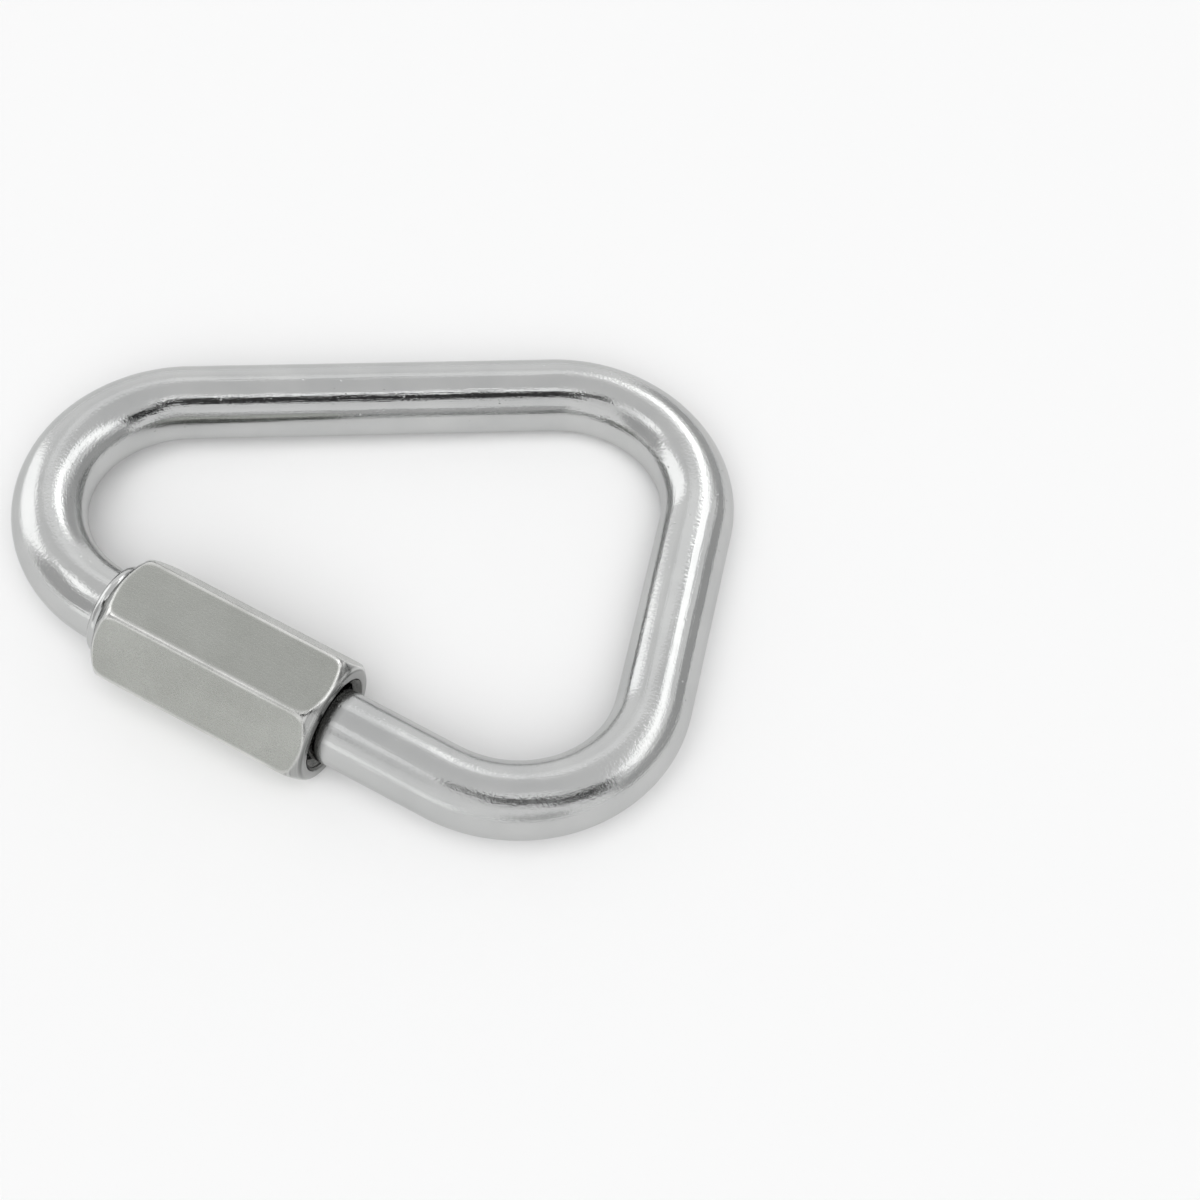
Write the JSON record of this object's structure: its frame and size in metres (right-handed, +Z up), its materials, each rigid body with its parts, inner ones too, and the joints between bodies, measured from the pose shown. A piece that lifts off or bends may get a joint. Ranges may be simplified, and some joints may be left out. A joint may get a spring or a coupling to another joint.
{
  "type": "triangular chain quick link",
  "caption": "Triangular link bent from round steel bar, with a long hex sleeve nut that screws across the gap in its leg to close it.",
  "frame": {"origin": "on the floor, under the middle of the link's bounding box, as the closed link lies flat", "axes": "+X along the nut leg's axis from the apex bend to the base, +Y across the link to the far leg, +Z up"},
  "size_m": [0.0772, 0.063, 0.013],
  "materials": {
    "polished_bar": "tumble-polished stainless steel",
    "satin_nut": "satin stainless steel"
  },
  "bodies": {
    "bar": {"link_bar": "polished_bar"},
    "nut": {"sleeve_nut": "satin_nut"}
  },
  "joints": [
    {"name": "nut_travel", "type": "slide", "parent": "bar", "child": "nut", "axis": [1, 0, 0], "range_m": [0, 0.01375]}
  ]
}
